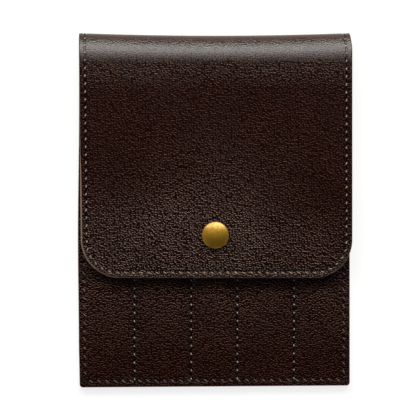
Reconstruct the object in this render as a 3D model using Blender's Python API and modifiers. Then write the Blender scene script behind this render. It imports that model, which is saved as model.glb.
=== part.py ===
# A leather needle case: a lined back that carries a stitched pocket of five channels, and a
# lined flap that folds over the top and shuts with a brass press stud. It is modelled shut,
# lying on its back. X runs across it, Y up it towards the fold, and Z away from the table.
# The flap and the two strips of the fold hang on empties at the fold lines, so turning those
# three empties back to zero lays the whole case flat. All lengths are in metres.

from math import cos, hypot, pi, radians, sin, tan

import bmesh
import bpy
from mathutils import Matrix, Vector

# Leather, lining and thread
leather_thickness = 0.0012
lining_thickness = 0.0006
lining_inset = 0.0003  # the lining stops short of the cut edge of the leather
thread_radius = 0.00024
gap = 0.0003  # between pieces that touch on the real case
cut_overrun = 0.001  # how far a cutter reaches past the surface that it cuts
arc_steps = 6
weld_distance = 0.00001

# Seams
seam_inset = 0.0027  # from the cut edge to the row of stitches
seam_flat = 0.0010  # leather pulled flat on each side of a row of stitches
seam_corner_radius = 0.0010
groove_depth = 0.0008  # the outer stitches lie sunk in a groove, flush with the leather

# Back
case_width = 0.124
case_height = 0.162
back_corner_radius = 0.0015

# Pocket: five channels between the side seams and four rows of divider stitches
pocket_height = 0.110
channel_height = 0.0047  # clear height in the middle of a channel, at the mouth
inner_divider_x = 0.01055
outer_divider_x = 0.0365
divider_end = 0.0012  # from the end of a divider row to the mouth or the bottom seam
step_run_share = 1.4  # run of the side seam's step down off the pocket, to its drop
arch_power = 3
arch_column_shares = (0, 0.1, 0.275, 0.5, 0.725, 0.9, 1)
# How full the channels stand: share of the pocket's height, then share of the full arch
swell_shares = ((0.17, 0.5), (0.39, 0.5), (0.66, 1))
swell_row_shares = (0.085, 0.17, 0.39, 0.44, 1)

# Flap
flap_reach = 0.112  # from the top of the fold down to the flap's lower edge
flap_corner_radius = 0.0175
flap_lean = 0.0008  # the lower edge sits this far to the right of the back
flap_room = 0.0005  # between the pocket at its fullest and the flap's lining
flap_thread_start = 0.0020  # from the last fold line to the stitches under the flap

# Fold: two sharp turns round the top edge, then a wide gentle one onto the flap
fold_turns = [radians(90), radians(55)]
fold_turns.append(pi - sum(fold_turns))
roll_radius = 0.022  # of the wide last turn, on the outer face

# Press stud
snap_x = 0.0005
snap_from_flap_edge = 0.0195
turned_steps = 28
cap_radius = 0.00625
cap_height = 0.0020
cap_rim_height = 0.0006
cap_rim_step = 0.00015
cap_shank_radius = 0.0020
flare_radius = 0.0028
flare_thickness = 0.00035
socket_radius = 0.00525
socket_height = 0.0025
socket_bevel = 0.0004
socket_plate = 0.0004
socket_lip = 0.0003
spring_wire_radius = 0.0002
spring_play = 0.00045  # up and down in its groove
spring_slot = radians(24)  # the opening in the split ring
spring_steps = 26
stud_flange_radius = 0.0046
stud_flange_thickness = 0.0006
stud_head_radius = 0.0031
stud_neck_radius = 0.0025
stud_head_bevel = 0.0004
stud_head_share = 0.76  # of the stud's height above its flange
stud_undercut_share = 0.17
stud_top_thickness = 0.0006
post_flange_radius = 0.0045
post_flange_thickness = 0.0005
post_shank_radius = 0.0015
post_bevel = 0.0002
seat_margin = 0.0024  # flat pocket leather round the stud's flange
seat_slope = 0.45  # how fast the leather rises out of the flat seat
seat_row_shares = (-2.3, -1.6, -1, 0, 1, 1.6, 2.3)

# Thickness of the shut case, from the layers between its two outer faces
wall_thickness = leather_thickness + gap + lining_thickness
stud_flange_low = gap
stud_flange_high = stud_flange_low + stud_flange_thickness
snap_stack = (post_flange_thickness + leather_thickness + stud_flange_high + socket_height
              + 4 * gap)
inner_height = max(channel_height + leather_thickness + flap_room, snap_stack)
closed_thickness = 2 * wall_thickness + inner_height

# The fold follows two arcs of one radius and a last one of the wide radius; each flat strip
# touches them between two fold lines
sharp_turn = sum(fold_turns[:-1])
fold_radius = ((closed_thickness - roll_radius * (1 + cos(sharp_turn)))
               / (1 - cos(sharp_turn)))
fold_reaches = [radius * tan(turn / 2) for radius, turn
                in zip([fold_radius] * 2 + [roll_radius], fold_turns)]
strip_lengths = [first + second for first, second in zip(fold_reaches, fold_reaches[1:])]
bottom_y = -case_height / 2
back_end = case_height / 2 - fold_radius + fold_reaches[0]  # Y of the first fold line
strip_slants = [sum(fold_turns[:count]) for count in (1, 2)]
flap_start_y = back_end + sum(length * cos(slant) for length, slant
                              in zip(strip_lengths, strip_slants))
flap_edge_y = case_height / 2 - flap_reach
flap_length = flap_start_y - flap_edge_y
mitre_trim = gap / 2

# Places that several pieces share
seam_x = case_width / 2 - seam_inset
mouth_y = bottom_y + pocket_height
pocket_low = wall_thickness + gap  # underside of the pocket where it is stitched down
outer_thread_depth = groove_depth - gap - thread_radius
snap_y = flap_edge_y + snap_from_flap_edge
seat_top = (closed_thickness - wall_thickness - gap - socket_height - gap
            - stud_flange_high)
seat_radius = stud_flange_radius + seat_margin
post_hole_radius = post_shank_radius + gap
cap_hole_radius = cap_shank_radius + gap
flare_top = wall_thickness + gap + socket_plate + gap  # below the flap's outer face
stud_height = (closed_thickness - seat_top) - (flare_top + flare_thickness + gap)

# Plain colours, linear
brown_leather = {"colour": (0.017, 0.008, 0.006), "roughness": 0.55, "metallic": 0}
brown_lining = {"colour": (0.055, 0.032, 0.022), "roughness": 0.9, "metallic": 0}
waxed_thread = {"colour": (0.16, 0.12, 0.10), "roughness": 0.6, "metallic": 0}
brass = {"colour": (0.60, 0.40, 0.12), "roughness": 0.25, "metallic": 1}
spring_steel = {"colour": (0.45, 0.45, 0.45), "roughness": 0.3, "metallic": 1}


def finish(piece, look):
    material = bpy.data.materials.new(piece.name)
    material.use_nodes = True
    surface = material.node_tree.nodes["Principled BSDF"]
    surface.inputs["Base Color"].default_value = (*look["colour"], 1)
    surface.inputs["Roughness"].default_value = look["roughness"]
    surface.inputs["Metallic"].default_value = look["metallic"]
    piece.data.materials.clear()
    piece.data.materials.append(material)


def place(piece, body, collection):
    collection.objects.link(piece)
    piece.parent = pivots[body]


def rounded(corners):
    # A path through (x, y, radius) corners, with an arc for each radius that isn't zero
    path = []
    for index, (x, y, radius) in enumerate(corners):
        corner = Vector((x, y))
        if radius == 0:
            path.append(corner)
            continue
        back, ahead = [(Vector(corners[near % len(corners)][:2]) - corner).normalized()
                       for near in (index - 1, index + 1)]
        half_angle = back.angle(ahead) / 2
        centre = corner + (back + ahead).normalized() * (radius / sin(half_angle))
        spoke = corner + back * (radius / tan(half_angle)) - centre
        sweep = pi - 2 * half_angle
        if (-back).cross(ahead) < 0:
            sweep = -sweep
        for step in range(arc_steps + 1):
            path.append(centre + Matrix.Rotation(sweep * step / arc_steps, 2) @ spoke)
    return path


def beside(path, distance):
    # The same path moved sideways, with its corners mitred
    headings = [(after - before).normalized() for before, after in zip(path, path[1:])]
    moved = []
    for index, point in enumerate(path):
        later = headings[min(index, len(headings) - 1)]
        middle = (headings[max(index - 1, 0)] + later).normalized()
        side = Vector((-middle.y, middle.x))
        moved.append(point + side * (distance / middle.dot(later)))
    return moved


def leaned(path):
    # Points of the flap, moved right in step with their distance from the fold
    return [Vector((x + flap_lean * y / flap_length, y)) for x, y in path]


def circle(x, y, radius):
    return [Vector((x + radius * cos(2 * pi * step / turned_steps),
                    y + radius * sin(2 * pi * step / turned_steps)))
            for step in range(turned_steps)]


def sheet(name, body, outlines, low, high, collection):
    # A flat sheet between two depths below the outer face, from closed outlines; the
    # outlines after the first one are holes
    curve = bpy.data.curves.new(name, 'CURVE')
    curve.dimensions = '2D'
    curve.fill_mode = 'BOTH'
    curve.extrude = (high - low) / 2
    for outline in outlines:
        spline = curve.splines.new('POLY')
        spline.points.add(len(outline) - 1)
        for point, (x, y) in zip(spline.points, outline):
            point.co = (x, y, 0, 1)
        spline.use_cyclic_u = True
    drawn = bpy.data.objects.new(name, curve)
    drawn.location.z = (low + high) / 2
    collection.objects.link(drawn)
    bpy.context.view_layer.update()
    mesh = bpy.data.meshes.new_from_object(
        drawn.evaluated_get(bpy.context.evaluated_depsgraph_get()))
    shape = bmesh.new()
    shape.from_mesh(mesh)
    bmesh.ops.remove_doubles(shape, verts=shape.verts, dist=weld_distance)
    bmesh.ops.recalc_face_normals(shape, faces=shape.faces)
    shape.to_mesh(mesh)
    shape.free()
    mesh.transform(drawn.matrix_world)
    bpy.data.objects.remove(drawn)
    piece = bpy.data.objects.new(name, mesh)
    place(piece, body, collection)
    return piece


def mitre(piece, end_y, slant):
    # Slants one end of a sheet, so that it meets its neighbour on the line between them
    for vertex in piece.data.vertices:
        if abs(vertex.co.y - end_y) < weld_distance:
            vertex.co.y += slant * vertex.co.z


def cut(piece, cutter):
    cutter.hide_render = True
    cutter.display_type = 'WIRE'
    boolean = piece.modifiers.new("cut", 'BOOLEAN')
    boolean.operation = 'DIFFERENCE'
    boolean.object = cutter


def cut_groove(piece, body, path):
    half_width = thread_radius + gap
    outline = beside(path, half_width) + beside(path, -half_width)[::-1]
    cut(piece, sheet(piece.name + "_groove", body, [outline], -cut_overrun, groove_depth,
                     cutters))


def seam_path(end):
    # Up the left side from one end, round the bottom of the case and back up the right side
    low = bottom_y + seam_inset
    return rounded([(-seam_x, end, 0), (-seam_x, low, seam_corner_radius),
                    (seam_x, low, seam_corner_radius), (seam_x, end, 0)])


def thread(name, body, points):
    curve = bpy.data.curves.new(name, 'CURVE')
    curve.dimensions = '3D'
    curve.bevel_depth = thread_radius
    curve.bevel_resolution = 2
    curve.use_fill_caps = True
    spline = curve.splines.new('POLY')
    spline.points.add(len(points) - 1)
    for point, position in zip(spline.points, points):
        point.co = (*position, 1)
    piece = bpy.data.objects.new(name, curve)
    place(piece, body, parts)
    finish(piece, waxed_thread)


def at_depth(path, depth):
    return [(x, y, depth) for x, y in path]


def turned(name, body, profile, closed, look):
    # A turned piece; its profile runs down the outer side
    mesh = bpy.data.meshes.new(name)
    edges = [(index, index + 1) for index in range(len(profile) - 1)]
    if closed:
        edges.append((len(profile) - 1, 0))
    mesh.from_pydata([(radius, 0, height) for radius, height in profile], edges, [])
    piece = bpy.data.objects.new(name, mesh)
    place(piece, body, parts)
    screw = piece.modifiers.new("turn", 'SCREW')
    screw.axis = 'Z'
    screw.steps = turned_steps
    screw.render_steps = turned_steps
    screw.use_merge_vertices = True
    screw.merge_threshold = weld_distance
    finish(piece, look)
    return piece


def make_pivots():
    # One empty for the body and one on each fold line, each carrying the next
    pivots["case_body"] = bpy.data.objects.new("case_body_pivot", None)
    parts.objects.link(pivots["case_body"])
    bodies = ("case_body", "fold_1", "fold_2", "flap")
    for carrier, body, turn, reach in zip(bodies, bodies[1:], fold_turns,
                                          [back_end] + strip_lengths):
        pivots[body] = bpy.data.objects.new(body + "_pivot", None)
        place(pivots[body], carrier, parts)
        pivots[body].location.y = reach
        pivots[body].rotation_euler.x = turn


def back_outline(inset):
    half = case_width / 2 - inset
    end = back_end - mitre_trim
    low = bottom_y + inset
    return rounded([(-half, low, back_corner_radius), (half, low, back_corner_radius),
                    (half, end, 0), (-half, end, 0)])


def make_layers(body, outlines, mitres, leather_name, lining_name):
    # The leather and the lining of one stretch of the case, mitred where it folds
    leather = sheet(leather_name, body, outlines(0), 0, leather_thickness, parts)
    lining = sheet(lining_name, body, outlines(lining_inset), leather_thickness + gap,
                   wall_thickness, parts)
    for end_y, slant in mitres:
        mitre(leather, end_y, slant)
        mitre(lining, end_y, slant)
    finish(leather, brown_leather)
    finish(lining, brown_lining)
    return leather


def make_back():
    end = back_end - mitre_trim
    leather = make_layers("case_body", lambda inset: [back_outline(inset)],
                          [(end, -tan(fold_turns[0] / 2))], "back_panel", "back_lining")
    cut_groove(leather, "case_body", seam_path(back_end + cut_overrun))
    thread("back_seam_thread", "case_body", at_depth(seam_path(end - gap), outer_thread_depth))


def channel_sides():
    lines = (-seam_x, -outer_divider_x, -inner_divider_x, inner_divider_x, outer_divider_x,
             seam_x)
    return [(left + seam_flat, right - seam_flat) for left, right in zip(lines, lines[1:])]


def swell(y):
    # Share of the full arch at a place up the pocket
    before_height, before_share = seam_inset + seam_flat, 0
    above_bottom = y - bottom_y
    for height_share, share in swell_shares:
        height = height_share * pocket_height
        if above_bottom <= height:
            along = max(0, above_bottom - before_height) / (height - before_height)
            return before_share + (share - before_share) * along ** 2 * (3 - 2 * along)
        before_height, before_share = height, share
    return before_share


def pocket_underside(x, y):
    rise = 0
    for left, right in channel_sides():
        if left < x < right:
            from_middle = abs(2 * x - left - right) / (right - left)
            rise = (channel_height - gap) * (1 - from_middle ** arch_power) * swell(y)
    beyond_seat = hypot(x - snap_x, y - snap_y) - seat_radius
    seat_rise = seat_top - leather_thickness - pocket_low + seat_slope * max(0, beyond_seat)
    return pocket_low + min(rise, seat_rise)


def make_pocket():
    half = case_width / 2
    columns = [-half, back_corner_radius - half, half - back_corner_radius, half]
    for left, right in channel_sides():
        columns += [left + share * (right - left) for share in arch_column_shares]
    rows = [0, back_corner_radius, seam_inset + seam_flat]
    rows += [share * pocket_height for share in swell_row_shares]
    rows += [snap_y - bottom_y + share * seat_radius for share in seat_row_shares]
    # The leather stays flat out to the edge of the stud's flange
    flange_edge = stud_flange_radius + gap
    columns += [snap_x - flange_edge, snap_x + flange_edge]
    rows += [snap_y - bottom_y - flange_edge, snap_y - bottom_y + flange_edge]
    columns.sort()
    rows.sort()
    shape = bmesh.new()
    bmesh.ops.create_grid(shape, x_segments=len(columns) - 1, y_segments=len(rows) - 1, size=1)
    for vertex in shape.verts:
        column = round((vertex.co.x + 1) / 2 * (len(columns) - 1))
        row = round((vertex.co.y + 1) / 2 * (len(rows) - 1))
        x, y = columns[column], bottom_y + rows[row]
        if row == 0 and column in (0, len(columns) - 1):
            pull = back_corner_radius * (1 - cos(pi / 4))
            x, y = x - pull * x / half, y + pull
        vertex.co = (x, y, pocket_underside(x, y))
    mesh = bpy.data.meshes.new("front_pocket")
    shape.to_mesh(mesh)
    shape.free()
    pocket = bpy.data.objects.new("front_pocket", mesh)
    place(pocket, "case_body", parts)
    thicken = pocket.modifiers.new("thickness", 'SOLIDIFY')
    thicken.thickness = leather_thickness
    thicken.offset = 1
    cut(pocket, sheet("front_pocket_hole", "case_body",
                      [circle(snap_x, snap_y, post_hole_radius)],
                      pocket_low, seat_top + cut_overrun, cutters))
    finish(pocket, brown_leather)


def make_pocket_threads():
    over_pocket = pocket_low + leather_thickness + gap + thread_radius
    over_lining = wall_thickness + gap + thread_radius
    for number, x in enumerate((-outer_divider_x, -inner_divider_x, inner_divider_x,
                                outer_divider_x), start=1):
        thread(f"divider_thread_{number}", "case_body",
               [(x, bottom_y + seam_inset + divider_end, over_pocket),
                (x, mouth_y - divider_end, over_pocket)])
    # The seam runs round the pocket and steps down past its mouth onto the lining
    step_top = mouth_y + gap
    step_foot = step_top + step_run_share * (over_pocket - over_lining)
    seam_end = back_end - wall_thickness - gap
    left_side = [(-seam_x, seam_end, over_lining), (-seam_x, step_foot, over_lining)]
    right_side = [(-x, y, z) for x, y, z in reversed(left_side)]
    thread("body_seam_thread", "case_body",
           left_side + at_depth(seam_path(step_top), over_pocket) + right_side)


def make_fold_strip(number):
    body = f"fold_{number}"
    start = mitre_trim
    end = strip_lengths[number - 1] - mitre_trim

    def outlines(inset):
        half = case_width / 2 - inset
        return [rounded([(-half, start, 0), (half, start, 0), (half, end, 0), (-half, end, 0)])]

    leather = make_layers(body, outlines, [(start, tan(fold_turns[number - 1] / 2)),
                                           (end, -tan(fold_turns[number] / 2))],
                          f"fold_leather_{number}", f"fold_lining_{number}")
    for side, x in (("left", -seam_x), ("right", seam_x)):
        cut_groove(leather, body, rounded([(x, -cut_overrun, 0), (x, end + cut_overrun, 0)]))
        thread(f"fold_thread_{side}_{number}", body,
               [(x, start + gap, outer_thread_depth), (x, end - gap, outer_thread_depth)])


def flap_outline(inset):
    half = case_width / 2 - inset
    end = flap_length - inset
    radius = flap_corner_radius - inset
    return leaned(rounded([(-half, mitre_trim, 0), (half, mitre_trim, 0), (half, end, radius),
                           (-half, end, radius)]))


def flap_seam(start):
    end = flap_length - seam_inset
    radius = flap_corner_radius - seam_inset
    return leaned(rounded([(-seam_x, start, 0), (-seam_x, end, radius), (seam_x, end, radius),
                           (seam_x, start, 0)]))


def make_flap():
    hole = circle(snap_x, flap_start_y - snap_y, cap_hole_radius)
    leather = make_layers("flap", lambda inset: [flap_outline(inset), hole],
                          [(mitre_trim, tan(fold_turns[-1] / 2))], "flap_panel", "flap_lining")
    cut_groove(leather, "flap", flap_seam(-cut_overrun))
    thread("flap_seam_thread", "flap", at_depth(flap_seam(mitre_trim + gap), outer_thread_depth))
    thread("flap_under_thread", "flap",
           at_depth(flap_seam(flap_thread_start), wall_thickness + gap + thread_radius))


def on_flap(piece):
    # Stands a turned piece upright on the snap's place, its zero on the flap's outer face
    piece.location = (snap_x, flap_start_y - snap_y, 0)
    piece.rotation_euler.x = pi


def make_cap():
    dome = [(cap_radius * sin(pi / 2 * step / arc_steps),
             gap + cap_rim_height
             + (cap_height - cap_rim_height) * cos(pi / 2 * step / arc_steps))
            for step in range(arc_steps + 1)]
    on_flap(turned("snap_cap", "flap", dome + [
        (cap_radius, gap + cap_rim_step),
        (cap_radius - cap_rim_step, gap),
        (cap_shank_radius, gap),
        (cap_shank_radius, -flare_top),
        (flare_radius, -flare_top),
        (flare_radius, -flare_top - flare_thickness),
        (0, -flare_top - flare_thickness)], False, brass))


def make_socket():
    top = -wall_thickness - gap
    foot = top - socket_height
    ring_radius = stud_head_radius + gap + spring_wire_radius
    mouth_radius = ring_radius - spring_wire_radius / 2
    groove_radius = ring_radius + spring_wire_radius + gap
    groove_low = foot + socket_lip
    groove_high = groove_low + 2 * spring_wire_radius + spring_play
    on_flap(turned("snap_socket", "flap", [
        (cap_hole_radius, top),
        (socket_radius - socket_bevel, top),
        (socket_radius, top - socket_bevel),
        (socket_radius, foot + socket_bevel),
        (socket_radius - socket_bevel, foot),
        (mouth_radius, foot),
        (mouth_radius, groove_low),
        (groove_radius, groove_low),
        (groove_radius, groove_high),
        (mouth_radius, groove_high),
        (mouth_radius, top - socket_plate),
        (cap_hole_radius, top - socket_plate)], True, brass))
    make_spring(ring_radius, (groove_low + groove_high) / 2)


def make_spring(ring_radius, height):
    # A split ring that lies in the socket's groove round the stud's head
    turn = (2 * pi - spring_slot) / spring_steps
    curve = bpy.data.curves.new("snap_spring", 'CURVE')
    curve.dimensions = '3D'
    curve.bevel_depth = spring_wire_radius
    curve.bevel_resolution = 1
    curve.use_fill_caps = True
    spline = curve.splines.new('POLY')
    spline.points.add(spring_steps)
    for step, point in enumerate(spline.points):
        angle = spring_slot / 2 + turn * step
        point.co = (ring_radius * cos(angle), ring_radius * sin(angle), height, 1)
    piece = bpy.data.objects.new("snap_spring", curve)
    place(piece, "flap", parts)
    finish(piece, spring_steel)
    on_flap(piece)


def on_pocket(piece):
    piece.location = (snap_x, snap_y, seat_top)


def make_stud():
    above_flange = stud_height - stud_flange_high
    head_low = stud_height - stud_head_share * above_flange
    on_pocket(turned("snap_stud", "case_body", [
        (0, stud_height),
        (stud_head_radius - stud_head_bevel, stud_height),
        (stud_head_radius, stud_height - stud_head_bevel),
        (stud_head_radius, head_low),
        (stud_neck_radius, head_low - stud_undercut_share * above_flange),
        (stud_neck_radius, stud_flange_high),
        (stud_flange_radius, stud_flange_high),
        (stud_flange_radius, stud_flange_low),
        (post_hole_radius, stud_flange_low),
        (post_hole_radius, stud_height - stud_top_thickness),
        (0, stud_height - stud_top_thickness)], False, brass))
    shank_top = stud_height - stud_top_thickness - gap
    flange_top = -leather_thickness - gap
    on_pocket(turned("snap_stud_post", "case_body", [
        (0, shank_top),
        (post_shank_radius - post_bevel, shank_top),
        (post_shank_radius, shank_top - post_bevel),
        (post_shank_radius, flange_top),
        (post_flange_radius - post_bevel, flange_top),
        (post_flange_radius, flange_top - post_bevel),
        (post_flange_radius, flange_top - post_flange_thickness),
        (0, flange_top - post_flange_thickness)], False, brass))


for leftover in list(bpy.data.objects):
    bpy.data.objects.remove(leftover)
parts = bpy.data.collections.new("needle_case")
cutters = bpy.data.collections.new("cutters")
bpy.context.scene.collection.children.link(parts)
bpy.context.scene.collection.children.link(cutters)
pivots = {}
make_pivots()
make_back()
make_pocket()
make_pocket_threads()
for strip_number in (1, 2):
    make_fold_strip(strip_number)
make_flap()
make_cap()
make_socket()
make_stud()
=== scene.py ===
import math

import bmesh
import bpy
import numpy as np
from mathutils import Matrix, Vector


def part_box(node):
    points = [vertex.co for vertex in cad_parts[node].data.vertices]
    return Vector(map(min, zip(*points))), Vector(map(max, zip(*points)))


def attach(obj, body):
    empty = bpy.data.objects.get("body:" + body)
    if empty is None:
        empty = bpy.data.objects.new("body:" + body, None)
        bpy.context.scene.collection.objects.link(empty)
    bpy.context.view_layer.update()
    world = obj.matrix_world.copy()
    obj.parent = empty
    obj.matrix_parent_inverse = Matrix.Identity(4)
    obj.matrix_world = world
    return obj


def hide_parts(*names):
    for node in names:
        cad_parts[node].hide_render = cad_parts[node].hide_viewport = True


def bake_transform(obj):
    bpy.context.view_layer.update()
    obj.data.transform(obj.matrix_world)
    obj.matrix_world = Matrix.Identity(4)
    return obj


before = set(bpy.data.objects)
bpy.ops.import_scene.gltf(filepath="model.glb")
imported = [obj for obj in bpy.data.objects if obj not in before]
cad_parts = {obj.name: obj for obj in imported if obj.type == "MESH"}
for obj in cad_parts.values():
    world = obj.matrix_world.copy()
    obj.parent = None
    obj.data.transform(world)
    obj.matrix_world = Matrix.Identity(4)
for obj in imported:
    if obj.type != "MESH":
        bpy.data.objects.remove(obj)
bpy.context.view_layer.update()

# A shut leather needle case lying on its back. Lengths here are in mm; X runs across the case,
# Y up it towards the fold and Z away from the table. A span holds the places where something
# begins and where it is full.
mm = 0.001
rng = np.random.default_rng(41)


def smooth(values, low, high):
    share = np.clip((values - low) / (high - low), 0, 1)
    return share * share * (3 - 2 * share)


def linearColour(hexColour):
    # sRGB hex to the linear values that a shader takes
    channels = [int(hexColour[start:start + 2], 16) / 255 for start in (1, 3, 5)]
    linear = [c / 12.92 if c <= 0.04045 else ((c + 0.055) / 1.055) ** 2.4 for c in channels]
    return (*linear, 1)


def fillBetween(marks, step):
    # Keeps every mark and fills the gaps between them evenly
    marks = np.unique(np.round(marks, 4))
    runs = []
    for low, high in zip(marks, marks[1:]):
        count = max(1, math.ceil((high - low) / step - 1e-6))
        runs.append(np.linspace(low, high, count, endpoint=False))
    return np.append(np.concatenate(runs), marks[-1])


# The side view of the case: its outer face runs up the back, round the fold and down the flap
caseShape = {
    "halfWidth": 62.0,
    "bottomY": -81.0,
    "runs": ((159.4, 0), (4.0841, 90), (1.0398, 0), (3.49396, 55), (13.43904, 35),
             (97.829, 0)),  # length and turn in degrees of each stretch
    "flapFrom": 161.0,  # along the sheet, where the flap's seam takes over from the back's
    "leather": 1.2,
    "liningTop": 1.21,  # depth of the lining's glued face below the outer face
    "liningInset": 0.3,
    "wall": 2.1,
    "seamInset": 2.7,
    "backCorner": 1.5,
    "flapCorner": 17.5,
}
# What sewing and use have done to the square shape
usedShape = {
    "rightLean": 1.0,  # the flap's right edge comes over the fold this far to the right
    "leftLean": 1.25,  # and its left edge drifts this far to the right, lower down
    "leanSpan": (163.5, 175.3),
    "topHollow": 1.2,  # the fold is drawn in this far in the middle of the top edge
    "hollowSpan": (66, 80),
    "skew": 0.45,  # the lower edge runs up to the right by twice this
    "skewLift": 0.15,
    "skewSpan": (-40, -81),
    "leftBulge": 0.5,  # the back's left edge stands out a little beside the snap
    "bulgeY": -12,
    "bulgeReach": 34,
    "bulgeFromX": -30,
    "bulgeHeights": (7.5, 5),
    "footTuck": 0.3,  # and is drawn in at its foot
    "footSpan": (-60, -81),
}
snapSpot = {"x": 0.5, "y": -11.5}
runEnds = np.concatenate([[0], np.cumsum([run[0] for run in caseShape["runs"]])])
runHeadings = np.radians(np.concatenate([[0], np.cumsum([run[1] for run in caseShape["runs"]])]))
sheetLength = runEnds[-1]
finePlaces = np.linspace(0, sheetLength, 30000)
fineHeadings = np.interp(finePlaces, runEnds, runHeadings)
middleHeadings = (fineHeadings[1:] + fineHeadings[:-1]) / 2
fineStep = finePlaces[1]
fineY = caseShape["bottomY"] + np.concatenate([[0], np.cumsum(np.cos(middleHeadings))]) * fineStep
fineZ = np.concatenate([[0], np.cumsum(np.sin(middleHeadings))]) * fineStep
flapEdgeY = fineY[-1]
# Where the leather passes from one body to the next
turnStarts = {"first": 158.36, "second": 164.5239, "third": 168.0179, "end": 181.4569}


def settle(x, y, z, look=usedShape):
    half = caseShape["halfWidth"]
    hollow = look["topHollow"] * (1 - np.clip(x / half, -1, 1) ** 2)
    y = y - hollow * smooth(y, *look["hollowSpan"])
    rise = look["skewLift"] + look["skew"] * x / half
    y = y + rise * smooth(y, *look["skewSpan"])
    fromBulge = (y - look["bulgeY"]) / look["bulgeReach"]
    bulge = look["leftBulge"] * np.exp(-fromBulge ** 2)
    bulge = bulge - look["footTuck"] * smooth(y, *look["footSpan"])
    bulge = bulge * smooth(x, look["bulgeFromX"], -half)
    x = x - bulge * smooth(z, *look["bulgeHeights"])
    return np.stack([x, y, z], axis=-1)


def leanOf(x, along):
    # How far to the right a point of the sheet has moved on its way over the fold and down
    start = usedShape["leanSpan"][0]
    right = usedShape["rightLean"] * smooth(along, *usedShape["leanSpan"])
    left = usedShape["leftLean"] * np.clip(along - start, 0, None) / (sheetLength - start)
    return left + (right - left) * (0.5 + x / 2 / caseShape["halfWidth"])


flapRelief = {
    "span": (178, 198),  # along the sheet, where it begins below the fold
    "droop": 1.1,  # of the lower edge
    "droopLength": 32.0,
    "snapPull": 0.32,
    "snapReach": 15.0,
    "wave": 0.16,
    "calmSpan": (6, 22),  # round the snap, where the waves die out
}


def flapHeight(x, along):
    # Gentle ups and downs of the shut flap, above its flat outer face
    y = flapEdgeY + sheetLength - along
    fromSnap = np.hypot(x + leanOf(x, along) - snapSpot["x"], y - snapSpot["y"])
    share = np.clip(1 - (sheetLength - along) / flapRelief["droopLength"], 0, 1)
    droop = -flapRelief["droop"] * share ** 2
    pull = -flapRelief["snapPull"] * np.exp(-(fromSnap / flapRelief["snapReach"]) ** 2)
    wave = np.sin(x / 17 + 0.6) * np.sin(along / 21 + 0.9) + 0.5 * np.sin(x / 9.5 - along / 14)
    wave = flapRelief["wave"] * wave * smooth(fromSnap, *flapRelief["calmSpan"])
    return smooth(along, *flapRelief["span"]) * (droop + pull + wave)


def placeSheet(x, along, depth):
    # A point of the flat cut sheet, at a depth below its outer face, on the folded case
    heading = np.interp(along, runEnds, runHeadings)
    lift = flapHeight(x, along) - depth
    y = np.interp(along, finePlaces, fineY) + np.sin(heading) * lift
    z = np.interp(along, finePlaces, fineZ) - np.cos(heading) * lift
    return settle(x + leanOf(x, along), y, z)


# A level from 0 to 1 for rubbed crests and for painted light: it raises the grain and makes
# the painted highlight paler; spans are along the sheet
wearAndLightMap = {
    "back": 0.15,
    "flap": 0.06,
    "flapSpan": (165, 185),
    "belowFold": 0.4,
    "foldSpan": (195, 183),
    "snap": 0.62,
    "snapReach": 34,
    "low": 0.6,
    "lowSpan": (238, 270),
    # painted highlight: makes the pebbles' highlight paler along the flap's lower lip, and raises
    # its grain
    "lip": 0.75,
    "lipHighlightSpan": (274.5, 277.5),
    "right": -0.12,  # painted light: low on the flap, brighter on the left than on the right
    "toLeft": 0.4,
    "leftSpan": (30, -20),  # across the case
    "sideSpan": (225, 255),
}


def wearAndLightOf(x, along):
    y = flapEdgeY + sheetLength - along
    fromSnap = np.hypot(x - snapSpot["x"], y - snapSpot["y"])
    flap = wearAndLightMap["flap"] + wearAndLightMap["snap"] * np.exp(-(fromSnap / wearAndLightMap["snapReach"]) ** 2)
    flap = flap + wearAndLightMap["low"] * smooth(along, *wearAndLightMap["lowSpan"])
    flap = flap + wearAndLightMap["lip"] * smooth(along, *wearAndLightMap["lipHighlightSpan"])
    side = wearAndLightMap["right"] + wearAndLightMap["toLeft"] * smooth(x, *wearAndLightMap["leftSpan"])
    flap = flap + side * smooth(along, *wearAndLightMap["sideSpan"])
    flap = flap + wearAndLightMap["belowFold"] * smooth(along, *wearAndLightMap["foldSpan"])
    onFlap = smooth(along, *wearAndLightMap["flapSpan"])
    return np.clip(onFlap * flap + (1 - onFlap) * wearAndLightMap["back"], 0, 1)


def roundCorners(x, along, half, end, radius):
    # Draws the square corners at one end of a sheet in to arcs; the turn is the place on the arc
    over = np.abs(x) - (half - radius)
    beyond = along - (end - radius)
    inCorner = (over > 0) & (beyond > 0)
    larger = np.maximum(np.maximum(over, beyond), 1e-6)
    swing = math.pi / 4 * np.minimum(over, beyond) / larger
    turn = np.where(over >= beyond, swing, math.pi / 2 - swing)
    newX = np.sign(x) * (half - radius + larger * np.cos(turn))
    newAlong = end - radius + larger * np.sin(turn)
    turn = np.where(inCorner, turn, np.where(beyond > over, math.pi / 2, 0))
    return np.where(inCorner, newX, x), np.where(inCorner, newAlong, along), turn


# The seams: how far apart their holes are, and where the rows of holes begin and end
flapSeam = {"pitch": 3.6, "firstHole": 325.744, "lowerFrom": 14.5}
backSeam = {"pitch": 3.74, "sideHoles": 42, "halfRow": 15, "pastTurn": 0.5}
pocketSeam = {
    "pitch": 3.78,
    "holeLength": 0.55,  # half of it
    "sideHoles": 28,
    "halfRow": 15,
    "underMouth": 1.2,
    "aboveMouth": 2.6,
    "topY": 76.5,
    "thread": 0.1,  # how far the thread stands out of the groove
    "dividerThread": 0.12,
    "dividerDot": -35.84,  # the middle of one stitch
    "dividerHoles": (-17, 12),
    "aboveBottom": 0.8,
}
seamRadius = caseShape["flapCorner"] - caseShape["seamInset"]
seamStraight = sheetLength - caseShape["flapCorner"]
seamFlat = caseShape["halfWidth"] - caseShape["flapCorner"]
seamTotal = 2 * seamStraight + seamRadius * math.pi + 2 * seamFlat


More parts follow.
